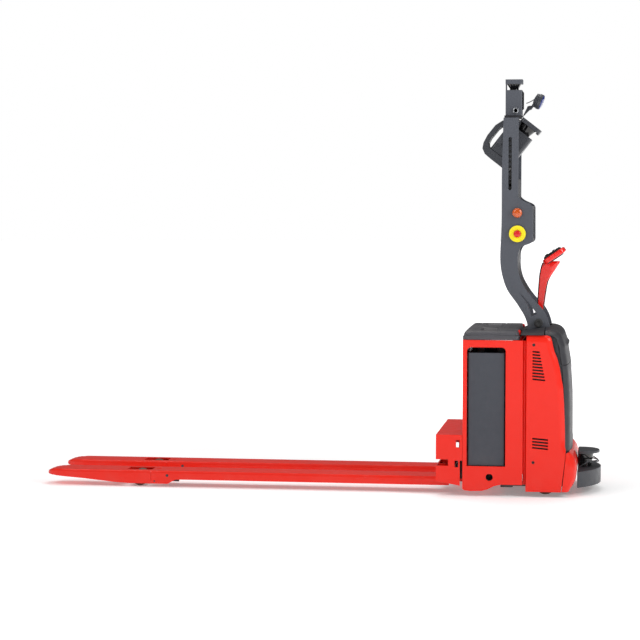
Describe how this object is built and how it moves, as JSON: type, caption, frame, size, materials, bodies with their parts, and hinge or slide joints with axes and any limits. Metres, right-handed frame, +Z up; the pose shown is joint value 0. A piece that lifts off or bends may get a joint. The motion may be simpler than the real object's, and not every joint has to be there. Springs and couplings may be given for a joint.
{
  "type": "electric pallet truck",
  "caption": "Automated electric pallet truck with long forks, red drive unit, tiller and a grey sensor mast carrying scanners, a blue spot lamp and safety buttons.",
  "frame": {"origin": "on the floor, under the middle of the truck's outer box", "axes": "+X from the fork tips towards the tiller and bumper, +Y across to the right side, +Z up"},
  "size_m": [2.8559, 0.72, 2.088],
  "materials": {
    "red_paint": "gloss",
    "slate_paint": "satin",
    "mast_grey": "satin",
    "black_plastic": "textured",
    "grey_plastic": "textured",
    "red_plastic": "gloss",
    "yellow_plastic": "gloss",
    "stop_red": "gloss",
    "amber": "gloss",
    "blue_glass": "gloss",
    "screen_glass": "gloss",
    "polyurethane": "matte",
    "steel": "satin",
    "cast_grey": "cast",
    "black_steel": "satin"
  },
  "bodies": {
    "chassis": {"amber_lamps": "amber", "battery_box": "red_paint", "battery_rollers": "steel", "console_cover": "grey_plastic", "cover_bolts": "black_steel", "display_screen": "screen_glass", "drive_frame": "black_steel", "electronics": "black_plastic", "estop_collars": "yellow_plastic", "front_cover": "black_plastic", "front_scanner_body": "grey_plastic", "front_scanner_cap": "grey_plastic", "front_scanner_skirt": "grey_plastic", "hydraulic_unit": "black_steel", "lamp_bracket": "black_plastic", "lift_cylinders": "black_steel", "lower_bumper": "red_plastic", "mast_plates": "mast_grey", "mast_webs": "black_steel", "nav_body": "grey_plastic", "nav_cap": "grey_plastic", "nav_optic": "black_plastic", "side_cover_left": "red_plastic", "side_cover_right": "red_plastic", "steer_motor": "black_steel", "tilt_scanner_body": "grey_plastic", "tilt_scanner_guard": "grey_plastic", "tilt_scanner_optic": "black_plastic"},
    "lift_frame": {"fork_left": "red_paint", "fork_right": "red_paint", "fork_carriage": "red_paint", "lift_rods": "steel"},
    "load_arms": {"load_arms": "steel"},
    "push_rods": {"push_rods": "steel"},
    "rocker": {"rocker_shaft": "steel"},
    "load_roller_left": {"load_roller_left": "polyurethane"},
    "load_roller_right": {"load_roller_right": "polyurethane"},
    "battery": {"battery_pack": "slate_paint"},
    "lid": {"battery_lid": "grey_plastic"},
    "steer_unit": {"drive_unit": "cast_grey"},
    "drive_wheel": {"drive_wheel": "polyurethane"},
    "steer_pinion": {"steer_pinion": "steel"},
    "caster_left": {"caster_fork_left": "steel"},
    "caster_right": {"caster_fork_right": "steel"},
    "caster_wheel_left": {"caster_wheel_left": "polyurethane"},
    "caster_wheel_right": {"caster_wheel_right": "polyurethane"},
    "tiller_turret": {"tiller_base": "black_steel"},
    "tiller": {"tiller_arm": "black_plastic", "tiller_shell": "red_plastic"},
    "throttle": {"throttle_wing": "black_plastic"},
    "horn": {"horn_button": "yellow_plastic"},
    "lift_switch": {"lift_button": "black_plastic"},
    "lower_switch": {"lower_button": "black_plastic"},
    "belly_switch": {"belly_button": "stop_red"},
    "estop_left": {"estop_button_left": "stop_red"},
    "estop_right": {"estop_button_right": "stop_red"},
    "nav_rotor": {"nav_rotor": "black_plastic"},
    "nav_button": {"nav_button": "black_plastic"},
    "spot_lamp": {"spot_lamp": "grey_plastic", "spot_lens": "blue_glass"}
  },
  "joints": [
    {"name": "lift", "type": "slide", "parent": "chassis", "child": "lift_frame", "axis": [0, 0, 1], "range_m": [0, 0.125]},
    {"name": "load_arm_swing", "type": "hinge", "parent": "lift_frame", "child": "load_arms", "pos_m": [-0.78317, 0, 0.06], "axis": [0, -1, 0], "range_deg": [0, 61.54]},
    {"name": "push_rod_travel", "type": "slide", "parent": "lift_frame", "child": "push_rods", "axis": [1, 0, 0], "range_m": [0, 0.0266]},
    {"name": "rocker_swing", "type": "hinge", "parent": "lift_frame", "child": "rocker", "pos_m": [0.67, 0, 0.118], "axis": [0, -1, 0], "range_deg": [0, 23.78]},
    {"name": "load_roller_spin_left", "type": "hinge", "parent": "load_arms", "child": "load_roller_left", "pos_m": [-0.937, -0.1875, 0.041], "axis": [0, 1, 0], "continuous": true},
    {"name": "load_roller_spin_right", "type": "hinge", "parent": "load_arms", "child": "load_roller_right", "pos_m": [-0.937, 0.1875, 0.041], "axis": [0, 1, 0], "continuous": true},
    {"name": "battery_change", "type": "slide", "parent": "chassis", "child": "battery", "axis": [0, -1, 0], "range_m": [0, 0.7]},
    {"name": "lid_open", "type": "hinge", "parent": "chassis", "child": "lid", "pos_m": [1.017, 0, 0.819], "axis": [0, 1, 0], "range_deg": [0, 60]},
    {"name": "drive_steer", "type": "hinge", "parent": "chassis", "child": "steer_unit", "pos_m": [1.182, 0, 0], "axis": [0, 0, 1], "range_deg": [-90, 90]},
    {"name": "drive_wheel_spin", "type": "hinge", "parent": "steer_unit", "child": "drive_wheel", "pos_m": [1.182, 0, 0.11], "axis": [0, 1, 0], "continuous": true},
    {"name": "steer_pinion_spin", "type": "hinge", "parent": "chassis", "child": "steer_pinion", "pos_m": [1.182, -0.102, 0], "axis": [0, 0, 1], "range_deg": [-293, 293]},
    {"name": "caster_swivel_left", "type": "hinge", "parent": "chassis", "child": "caster_left", "pos_m": [1.182, -0.222, 0], "axis": [0, 0, 1], "continuous": true},
    {"name": "caster_swivel_right", "type": "hinge", "parent": "chassis", "child": "caster_right", "pos_m": [1.182, 0.222, 0], "axis": [0, 0, 1], "continuous": true},
    {"name": "caster_spin_left", "type": "hinge", "parent": "caster_left", "child": "caster_wheel_left", "pos_m": [1.154, -0.222, 0.05], "axis": [0, 1, 0], "continuous": true},
    {"name": "caster_spin_right", "type": "hinge", "parent": "caster_right", "child": "caster_wheel_right", "pos_m": [1.154, 0.222, 0.05], "axis": [0, 1, 0], "continuous": true},
    {"name": "tiller_turn", "type": "hinge", "parent": "chassis", "child": "tiller_turret", "pos_m": [1.117, 0, 0.865], "axis": [0, 0, 1], "range_deg": [-60, 60]},
    {"name": "tiller_tilt", "type": "hinge", "parent": "tiller_turret", "child": "tiller", "pos_m": [1.117, 0, 0.865], "axis": [0, 1, 0], "range_deg": [0, 70]},
    {"name": "throttle_turn", "type": "hinge", "parent": "tiller", "child": "throttle", "pos_m": [1.181, 0, 1.195], "axis": [0, 1, 0], "range_deg": [-20, 20], "stiffness_Nm_per_rad": 0.5},
    {"name": "horn_press", "type": "slide", "parent": "tiller", "child": "horn", "axis": [0.5592, 0, -0.829], "range_m": [0, 0.003], "stiffness_N_per_m": 600, "springref_m": -0.001},
    {"name": "lift_press", "type": "slide", "parent": "tiller", "child": "lift_switch", "axis": [0.5592, 0, -0.829], "range_m": [0, 0.003], "stiffness_N_per_m": 600, "springref_m": -0.001},
    {"name": "lower_press", "type": "slide", "parent": "tiller", "child": "lower_switch", "axis": [0.5592, 0, -0.829], "range_m": [0, 0.003], "stiffness_N_per_m": 600, "springref_m": -0.001},
    {"name": "belly_press", "type": "slide", "parent": "tiller", "child": "belly_switch", "axis": [-0.829, 0, -0.5592], "range_m": [0, 0.005], "stiffness_N_per_m": 600, "springref_m": -0.001},
    {"name": "estop_press_left", "type": "slide", "parent": "chassis", "child": "estop_left", "axis": [0, 1, 0], "range_m": [0, 0.005]},
    {"name": "estop_press_right", "type": "slide", "parent": "chassis", "child": "estop_right", "axis": [0, -1, 0], "range_m": [0, 0.005]},
    {"name": "nav_rotor_spin", "type": "hinge", "parent": "chassis", "child": "nav_rotor", "pos_m": [0.975, 0, 1.982], "axis": [0, 0, 1], "continuous": true},
    {"name": "nav_button_press", "type": "slide", "parent": "chassis", "child": "nav_button", "axis": [0, 1, 0], "range_m": [0, 0.003], "stiffness_N_per_m": 400, "springref_m": -0.001},
    {"name": "spot_lamp_tilt", "type": "hinge", "parent": "chassis", "child": "spot_lamp", "pos_m": [1.056, 0, 1.945], "axis": [0, 1, 0], "range_deg": [-10, 20]}
  ],
  "couplings": [
    {"joint": "load_arm_swing", "follows": "lift", "rad_per_m": 8.5512},
    {"joint": "push_rod_travel", "follows": "lift", "ratio": 0.2104},
    {"joint": "rocker_swing", "follows": "lift", "rad_per_m": 3.2789},
    {"joint": "steer_pinion_spin", "follows": "drive_steer", "ratio": -3.25}
  ]
}
